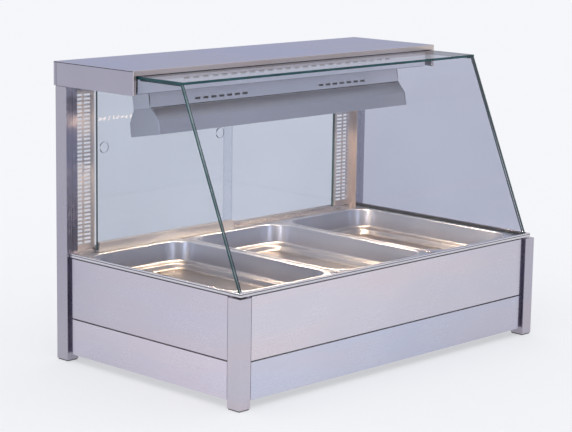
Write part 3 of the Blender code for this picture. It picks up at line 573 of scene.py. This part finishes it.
def rod_mesh(points, radius):
    """A closed round rod through the points."""
    curve = bpy.data.curves.new("rod", "CURVE")
    curve.dimensions = "3D"
    curve.bevel_depth = radius
    curve.bevel_resolution = 2
    curve.use_fill_caps = True
    line = curve.splines.new("POLY")
    line.points.add(len(points) - 1)
    for end, point in zip(line.points, points):
        end.co = (*point, 1)
    mesh = settled_mesh(placed("rod", curve))
    mesh.shade_smooth()
    return mesh


def make_hood_trim():
    """A rolled edge round the front of each hood end, in bright steel that paints a highlight along it."""
    rear_y = 0.080
    for side in ("left", "right"):
        name = "lamp_end_" + side
        low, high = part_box(name)
        outer_x = low.x if side == "left" else high.x
        outline = {(round(v.co.y, 4), round(v.co.z, 4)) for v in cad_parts[name].data.vertices}
        front = sorted((point for point in outline if point[0] < rear_y), key=lambda point: point[1])
        rod = rod_mesh([(outer_x, y, z) for y, z in front], 0.0008)
        link_piece("hood_trim_" + side, rod, [EDGE_HIGHLIGHT_STEEL], "cabinet")


def make_duct_end_seams():
    """A dark line up each end of the duct, just behind its front: partly a seam, partly painted shadow."""
    low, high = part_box("lamp_duct")
    width, depth, skin = 0.0016, 0.0012, 0.0001
    bm = bmesh.new()
    for sign, x in ((-1, low.x), (1, high.x)):
        face_x, back_x = x + sign * skin, x - sign * depth
        prism(bm, *([(face_x, y - width, z), (face_x, y, z), (back_x, y, z), (back_x, y - width, z)]
                    for y, z in ((low.y + 0.0022, low.z + 0.01283), (low.y + 0.0074, high.z - 0.0010))))
    link_piece("duct_end_seams", mesh_from("duct_end_seams", bm, True), [RUBBER], "cabinet")


def make_lit_slots():
    """Short slanting slots along the foot of the hood's rear wall, as glowing strips: painted light for the
    tubes shining through them.
    """
    low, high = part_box("lamp_hood")
    foot_y, foot_z = high.y - 0.00427, low.z + 0.00312
    head_y, head_z = high.y - 0.00297, low.z + 0.01162
    pitch, half_width, lean, end_margin = 0.0140, 0.0031, 0.0030, 0.015
    count = int((high.x - low.x - 2 * end_margin) / pitch)
    bm = bmesh.new()
    for index in range(count):
        x = (index - (count - 1) / 2) * pitch
        left, right = x - half_width, x + half_width
        prism(bm, *([(left, foot_y + out, foot_z), (right, foot_y + out, foot_z),
                     (right + lean, head_y + out, head_z), (left + lean, head_y + out, head_z)]
                    for out in (-0.0003, 0.0001)))
    link_piece("lit_slots", mesh_from("lit_slots", bm, True), [SLOT_GLOW], "cabinet")


def make_duct_joint_shade():
    """A dark strip in the joint between the duct and the hood, in front and behind: partly the joint, partly
    painted shadow for its dark line.
    """
    low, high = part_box("lamp_duct")
    corners = [vertex.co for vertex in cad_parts["lamp_duct"].data.vertices]
    front_foot = min(corners, key=lambda corner: corner.y + corner.z)
    rear_foot = min(corners, key=lambda corner: corner.z)
    size = Matrix.Diagonal((high.x - low.x + 0.0004, 0.0012, 0.0016, 1))
    bm = bmesh.new()
    for foot, out in ((front_foot, -0.0001), (rear_foot, 0.0001)):
        place = Matrix.Translation((0, foot.y + out, foot.z + 0.0004))
        bmesh.ops.create_cube(bm, size=1, matrix=place @ size)
    bevel(link_piece("duct_joint_shade_strip", mesh_from("duct_joint_shade_strip", bm), [RUBBER], "cabinet"), 0.0004)


def make_sealant_and_gap_shade():
    """A black bead in the gap between the rim and the outside of the panes' feet: partly sealant, partly
    painted shade for the dark gap.
    """
    low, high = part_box("glass_rim")
    glass_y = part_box("front_glass")[0].y
    rim, tuck = 0.0052, 0.0002
    half_x, front = high.x - rim, low.y + rim
    inner_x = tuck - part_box("side_glass_left")[0].x
    bm = bmesh.new()
    loops = []
    for z, inner_front in ((low.z + 0.0010, glass_y - 0.0001), (high.z - 0.0014, glass_y + 0.0027)):
        outline = [(-half_x, high.y), (-half_x, front), (half_x, front), (half_x, high.y),
                   (inner_x, high.y), (inner_x, inner_front), (-inner_x, inner_front), (-inner_x, high.y)]
        loops.append([bm.verts.new((x, y, z)) for x, y in outline])
    band(bm, *loops)
    for loop in loops:
        for outer in range(3):
            bm.faces.new((loop[outer], loop[outer + 1], loop[6 - outer], loop[7 - outer]))
    bevel(link_piece("sealant_and_gap_shade_bead", mesh_from("sealant_and_gap_shade_bead", bm, True), [RUBBER], "cabinet"), 0.0005)


# ---- pans -------------------------------------------------------------------------------------------
def filleted(points, radii, steps):
    """Points of a path whose inner corners are replaced with arcs of the radii given."""
    path = [Vector(points[0])]
    for before, corner, after, radius in zip(points, points[1:], points[2:], radii):
        before, corner, after = Vector(before), Vector(corner), Vector(after)
        to_before, to_after = (before - corner).normalized(), (after - corner).normalized()
        half = to_before.angle(to_after) / 2
        reach = min(radius / math.tan(half), (before - corner).length * 0.48, (after - corner).length * 0.48)
        real_radius = reach * math.tan(half)
        centre = corner + (to_before + to_after).normalized() * (real_radius / math.sin(half))
        start = corner + to_before * reach - centre
        sweep = start.angle_signed(corner + to_after * reach - centre)
        for step in range(steps + 1):
            turn = Matrix.Rotation(-sweep * step / steps, 2)
            path.append(centre + turn @ start)
    path.append(Vector(points[-1]))
    return path


def corner_outline(half_x, half_y, radius, steps):
    """A rectangle with round corners, as points."""
    points = []
    for quarter in range(4):
        sign_x = 1 if quarter in (0, 3) else -1
        sign_y = 1 if quarter in (0, 1) else -1
        for step in range(steps + 1):
            angle = math.radians(90) * (quarter + step / steps)
            points.append((sign_x * (half_x - radius) + radius * math.cos(angle),
                           sign_y * (half_y - radius) + radius * math.sin(angle)))
    return points


# A pan's sheet, the corner radii of its flange and its opening, and the flange's width.
PAN_SHEET = 0.001
PAN_OUTER_RADIUS, PAN_RADIUS = 0.016, 0.058
PAN_FLANGE = 0.010
PAN_STEPS = 14


def make_pan(name):
    """A pressed pan: flat flange, walls that lean in, a ledge round a lower floor."""
    low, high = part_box(name)
    middle = (low + high) / 2
    half_x, half_y = (high.x - low.x) / 2, (high.y - low.y) / 2
    depth = high.z - low.z - PAN_SHEET
    corners = [(0, 0), (0.0108, 0), (0.0168, -0.0470), (0.0285, -0.0510), (0.0350, -depth), (0.0700, -depth)]
    profile = filleted(corners, (0.0030, 0.0075, 0.0050, 0.0090), 6)
    bm = bmesh.new()
    loops = []
    for inset, drop in profile[:-1]:
        radius = PAN_OUTER_RADIUS if inset == 0 else PAN_RADIUS - 0.85 * max(0, inset - PAN_FLANGE)
        outline = corner_outline(half_x - inset, half_y - inset, radius, PAN_STEPS)
        loops.append([bm.verts.new((middle.x + x, middle.y + y, high.z + drop)) for x, y in outline])
    for outer, inner in zip(loops, loops[1:]):
        band(bm, outer, inner)
    bm.faces.new(loops[-1])
    mesh = smooth(mesh_from(name + "_pressed", bm), 50)
    piece = link_piece(name + "_pressed", mesh, [PAN_STEEL], name)
    sheet = piece.modifiers.new("sheet", "SOLIDIFY")
    sheet.thickness = PAN_SHEET
    sheet.offset = -1
    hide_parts(name)


# ---- turned pieces and small hardware --------------------------------------------------------------
def ring_mesh(name, profile, steps, flutes=0, flute_depth=0.0, fluted=()):
    """A turned solid about Z from (radius, height) points; the fluted ones wave in and out."""
    bm = bmesh.new()
    loops = []
    for index, (radius, height) in enumerate(profile):
        if radius == 0:
            loops.append([bm.verts.new((0, 0, height))])
            continue
        ring = []
        for step in range(steps):
            angle = 2 * math.pi * step / steps
            wave = flute_depth * (1 - abs(math.cos(angle * flutes / 2))) if index in fluted else 0
            reach = radius - wave
            ring.append(bm.verts.new((reach * math.cos(angle), reach * math.sin(angle), height)))
        loops.append(ring)
    for lower, upper in zip(loops, loops[1:]):
        if len(lower) == len(upper):
            band(bm, lower, upper)
            continue
        tip, ring = sorted((lower, upper), key=len)
        for i in range(steps):
            bm.faces.new((tip[0], ring[i], ring[(i + 1) % steps]))
    return smooth(mesh_from(name, bm, True), 35)


def facing_back(x, y, z):
    """Place for a piece modelled about Z, so that its top looks towards +Y."""
    return Matrix.Translation((x, y, z)) @ Matrix.Rotation(math.radians(-90), 4, "X")


def joined(name, meshes_and_places, materials, body):
    """One piece made of several meshes, each moved to its place."""
    bm = bmesh.new()
    for mesh, place in meshes_and_places:
        copy = mesh.copy()
        copy.transform(place)
        bm.from_mesh(copy)
        bpy.data.meshes.remove(copy)
    return link_piece(name, smooth(mesh_from(name, bm), 35), materials, body)


def block_mesh(name, size):
    bm = bmesh.new()
    bmesh.ops.create_cube(bm, size=1, matrix=Matrix.Diagonal((*size, 1)))
    return mesh_from(name, bm)


def make_knob():
    """A fluted knob with a thin skirt, and a white line for its pointer."""
    low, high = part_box("thermostat_knob")
    centre = (low + high) / 2
    reach = high.y - low.y
    profile = [(0, 0), (0.0030, 0), (0.0030, 0.0026), (0.0226, 0.0026), (0.0230, 0.0030), (0.0230, 0.0042),
               (0.0226, 0.0046), (0.0212, 0.0052), (0.0209, reach - 0.0030), (0.0203, reach - 0.0012),
               (0.0190, reach - 0.0002), (0.0168, reach), (0.0155, reach - 0.0006), (0, reach - 0.0006)]
    mesh = ring_mesh("knob", profile, 120, 24, 0.0011, (7, 8, 9))
    knob = joined("thermostat_knob_fluted", [(mesh, facing_back(centre.x, low.y, centre.z))], [BLACK],
                  "thermostat_knob")
    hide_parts("thermostat_knob")
    line = block_mesh("line", (0.0012, 0.0002, 0.0120))
    place = Matrix.Translation((centre.x, high.y - 0.0005, centre.z + 0.0095))
    joined("thermostat_pointer", [(line, place)], [INK], "thermostat_knob")


DIAL_SWEEP = math.radians(270)
TICK_COUNT, TICK_RADIUS = 28, 0.0265
DIAL_NUMBERS, NUMBER_RADIUS, NUMBER_SIZE = ("0", "30", "50", "70", "90", "110"), 0.0325, 0.0052


def make_dial():
    """Printed ticks and plain temperature numbers round the knob."""
    knob_low, knob_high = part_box("thermostat_knob")
    centre = (knob_low + knob_high) / 2
    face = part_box("control_panel")[1].y
    ticks = []
    for step in range(TICK_COUNT):
        length = 0.0018 if step % 3 else 0.0032
        turn = Matrix.Rotation(-DIAL_SWEEP * step / (TICK_COUNT - 1), 4, "Y")
        place = (Matrix.Translation((centre.x, face + 0.00006, centre.z)) @ turn
                 @ Matrix.Translation((0, 0, TICK_RADIUS)))
        ticks.append((block_mesh("tick", (0.0005, 0.0001, length)), place))
    joined("dial_ticks", ticks, [DARK_INK], "cabinet")
    numbers = []
    upright = Matrix.Rotation(math.pi, 4, "Z") @ Matrix.Rotation(math.radians(90), 4, "X")
    for index, text in enumerate(DIAL_NUMBERS):
        angle = -DIAL_SWEEP * index / (len(DIAL_NUMBERS) - 1)
        side, up = math.sin(angle) * NUMBER_RADIUS, math.cos(angle) * NUMBER_RADIUS
        place = Matrix.Translation((centre.x + side, face + 0.00008, centre.z + up)) @ upright
        numbers.append((number_mesh(text), place))
    joined("dial_numbers", numbers, [DARK_INK], "cabinet")


def number_mesh(text):
    """A number as a thin solid, centred, in the XY plane."""
    curve = bpy.data.curves.new("number", "FONT")
    curve.body = text
    curve.size = NUMBER_SIZE
    curve.extrude = 0.00005
    curve.align_x, curve.align_y = "CENTER", "CENTER"
    return settled_mesh(placed("number", curve))


def screw_mesh():
    """A pan-head screw's head, modelled about Z, with a cross recess."""
    head = ring_mesh("screw_head", [(0, 0), (0.0038, 0), (0.0040, 0.0004), (0.0036, 0.0013), (0.0027, 0.0019),
                                    (0.0015, 0.0022), (0, 0.0023)], 32)
    slot_length, slot_width, slot_height, top = 0.0040, 0.0009, 0.0016, Matrix.Translation((0, 0, 0.0023))
    bm = bmesh.new()
    for size in ((slot_length, slot_width, slot_height), (slot_width, slot_length, slot_height)):
        bmesh.ops.create_cube(bm, size=1, matrix=top @ Matrix.Diagonal((*size, 1)))
    blank, tool = placed("blank", head), placed("cross", mesh_from("cross", bm))
    cut = blank.modifiers.new("cross", "BOOLEAN")
    cut.operation = "DIFFERENCE"
    cut.object = tool
    cut.use_self = True
    screw = settled_mesh(blank)
    bpy.data.objects.remove(tool)
    return screw


def make_screws():
    """Pan-head screws on the rear panels and, pointing down, under the canopy's rear edge."""
    screw = screw_mesh()
    control_low, control_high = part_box("control_panel")
    lower_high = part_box("rear_panel_lower")[1]
    edge_x, margin = lower_high.x - 0.022, 0.010
    rows = ((control_low.z + margin, (-edge_x, edge_x)), (control_high.z - margin, (-edge_x, 0, edge_x)),
            (lower_high.z - margin, (-edge_x, edge_x)), (0.030, (-edge_x, edge_x)))
    places = [facing_back(x, control_high.y, z) for z, row in rows for x in row]
    joined("rear_screws", [(screw, place) for place in places], [HIDDEN_STEEL], "cabinet")
    canopy_y, canopy_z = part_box("canopy_shell")[1].y - 0.012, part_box("canopy_underside")[0].z
    head_down = Matrix.Rotation(math.pi, 4, "X")
    outer_x, inner_x = 0.470, 0.235
    under = [Matrix.Translation((x, canopy_y, canopy_z)) @ head_down
             for x in (-outer_x, -inner_x, inner_x, outer_x)]
    joined("canopy_screws", [(screw, place) for place in under], [HIDDEN_STEEL], "cabinet")


def make_rear_controls():
    """The knob with its dial, two rocker switches, the indicator's domed lens and the cable gland."""
    make_knob()
    make_dial()
    remade("thermostat_body", [BLACK], 0, "black_plastic", round_piece=True)
    for name, material, slot in (("power", RED, "red_plastic"), ("lamp", BLACK, "black_plastic")):
        remade(name + "_switch_housing", [BLACK], 0.0007, "black_plastic", segments=3)
        remade(name + "_rocker", [material], 0.0006, slot, segments=3)
    low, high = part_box("indicator_light")
    middle = (low + high) / 2
    reach = high.y - low.y
    lens = ring_mesh("lens", [(0, 0), (0.0041, 0), (0.0041, reach - 0.0056), (0.0055, reach - 0.0056),
                              (0.0053, reach - 0.0040), (0.0047, reach - 0.0022), (0.0036, reach - 0.0009),
                              (0.0020, reach - 0.0002), (0, reach)], 40)
    light = joined("indicator_lens", [(lens, facing_back(middle.x, low.y, middle.z))], [RED], "cabinet")
    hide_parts("indicator_light")
    remade("cable_gland", [BLACK], 0, "black_plastic", round_piece=True)


def make_lamp_tubes():
    """Quartz tubes with ceramic end caps."""
    cap_length = 0.0115
    lie = Matrix.Rotation(math.radians(90), 4, "Y")
    for side in ("left", "right"):
        name = "lamp_tube_" + side
        low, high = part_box(name)
        middle = (low + high) / 2
        length = high.x - low.x
        tube = ring_mesh("tube", [(0, 0), (0.0050, 0), (0.0050, length), (0, length)], 24)
        cap = ring_mesh("cap", [(0, 0), (0.0053, 0), (0.0055, 0.0004), (0.0055, 0.0110), (0.0053, 0.0114),
                                (0.0051, cap_length), (0, cap_length)], 24)
        start = Matrix.Translation((low.x, middle.y, middle.z)) @ lie
        piece = joined(name + "_quartz", [(tube, start)], [QUARTZ], "cabinet")
        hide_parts(name)
        far_cap = Matrix.Translation((high.x - cap_length, middle.y, middle.z)) @ lie
        caps = joined(name + "_caps", [(cap, start), (cap, far_cap)], [CERAMIC], "cabinet")


# ---- studio -------------------------------------------------------------------------------------------
FLOOR_RADIUS = 120
HEAT_POWER, HEAT_WIDTH, HEAT_DROP, HEAT_MARGIN = 5.6, 0.012, 0.0075, 0.015
STRIP_POWER, STRIP_SIZE, STRIP_DISTANCE, STRIP_HEIGHT = 10.0, (0.60, 1.1), 3.0, 0.85
STRIP_AZIMUTHS = {"strip_left": -76, "strip_right": -14}


def make_floor():
    bm = bmesh.new()
    bmesh.ops.create_circle(bm, cap_ends=True, segments=96, radius=FLOOR_RADIUS)
    mesh = mesh_from("floor", bm)
    mesh.materials.append(FLOOR)
    floor = placed("floor", mesh)
    return floor


def area_light(name, place, target, size, power, colour=(1, 1, 1)):
    data = bpy.data.lights.new(name, "AREA")
    data.shape = "RECTANGLE"
    data.size, data.size_y = size
    data.energy = power
    data.color = colour
    light = placed(name, data)
    light.location = place
    light.rotation_euler = (Vector(target) - Vector(place)).to_track_quat("-Z", "Y").to_euler()
    return light


def make_world():
    """Pale to the camera; to everything else a studio that is bright overhead and greyer far off."""
    world = bpy.data.worlds.new("studio")
    bpy.context.scene.world = world
    world.use_nodes = True
    tree = world.node_tree
    tree.nodes.clear()
    place = node(tree, "ShaderNodeTexCoord")
    split = node(tree, "ShaderNodeSeparateXYZ", Vector=place.outputs["Generated"])
    ramp = node(tree, "ShaderNodeValToRGB", Fac=split.outputs["Z"])
    stops = ramp.color_ramp.elements
    for stop, position, colour in zip(stops, (0.0, 0.55), (STUDIO_HORIZON, STUDIO_OVERHEAD)):
        stop.position = position
        stop.color = (*colour, 1)
    studio = node(tree, "ShaderNodeBackground", Color=ramp.outputs["Color"], Strength=0.90)
    backdrop = node(tree, "ShaderNodeBackground", Color=BACKDROP)
    path = node(tree, "ShaderNodeLightPath")
    mixed = mix_shaders(tree, path.outputs["Is Camera Ray"], studio.outputs[0], backdrop.outputs[0])
    node(tree, "ShaderNodeOutputWorld", Surface=mixed)


def make_lights(floor):
    """The heat lamps' light, sent down out of the hood, and two studio strips; none of it on the floor."""
    spared = bpy.data.collections.new("not_lit_by_the_lamps")
    spared.objects.link(floor)
    for side in ("left", "right"):
        tube = "lamp_tube_" + side
        low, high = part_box(tube)
        place = (low + high) / 2 - Vector((0, 0, HEAT_DROP))
        size = (HEAT_WIDTH, high.x - low.x - 2 * HEAT_MARGIN)
        light = area_light("heat_" + side, place, place - Vector((0, 0, 1)), size, HEAT_POWER, LAMP_COLOUR)
        light.rotation_euler = (0, 0, math.radians(90))
        for source in (light, bpy.data.objects[tube + "_quartz"]):
            source.light_linking.receiver_collection = spared
    spared.collection_objects[0].light_linking.link_state = "EXCLUDE"
    for name, azimuth in STRIP_AZIMUTHS.items():
        turn = math.radians(azimuth)
        place = (math.sin(turn) * STRIP_DISTANCE, -math.cos(turn) * STRIP_DISTANCE, STRIP_HEIGHT)
        strip = area_light(name, place, (0, 0, 0.25), STRIP_SIZE, STRIP_POWER)
        strip.light_linking.receiver_collection = spared


def make_camera():
    data = bpy.data.cameras.new("camera")
    data.sensor_width = SENSOR
    data.lens = LENS
    data.shift_x, data.shift_y = SHIFT_X, SHIFT_Y
    data.clip_end = 400
    camera = placed("camera", data)
    forward = Vector((math.sin(CAMERA_YAW) * math.cos(CAMERA_PITCH),
                      math.cos(CAMERA_YAW) * math.cos(CAMERA_PITCH), math.sin(CAMERA_PITCH)))
    level = Vector((math.cos(CAMERA_YAW), -math.sin(CAMERA_YAW), 0))
    upward = level.cross(forward)
    right = level * math.cos(CAMERA_ROLL) + upward * math.sin(CAMERA_ROLL)
    up = upward * math.cos(CAMERA_ROLL) - level * math.sin(CAMERA_ROLL)
    turn = Matrix((right, up, -forward)).transposed().to_4x4()
    camera.matrix_world = Matrix.Translation(CAMERA_PLACE) @ turn
    bpy.context.scene.camera = camera


bpy.context.scene.view_settings.view_transform = "Standard"
make_camera()
make_world()
studio_floor = make_floor()
make_sheet_metal()
make_glass()
make_sealant_and_gap_shade()
make_duct_joint_shade()
make_joint_beads()
make_hood_trim()
make_duct_end_seams()
make_lit_slots()
for pan_name in ("pan_left", "pan_middle", "pan_right"):
    make_pan(pan_name)
make_lamp_tubes()
make_lights(studio_floor)
make_rear_controls()
make_screws()
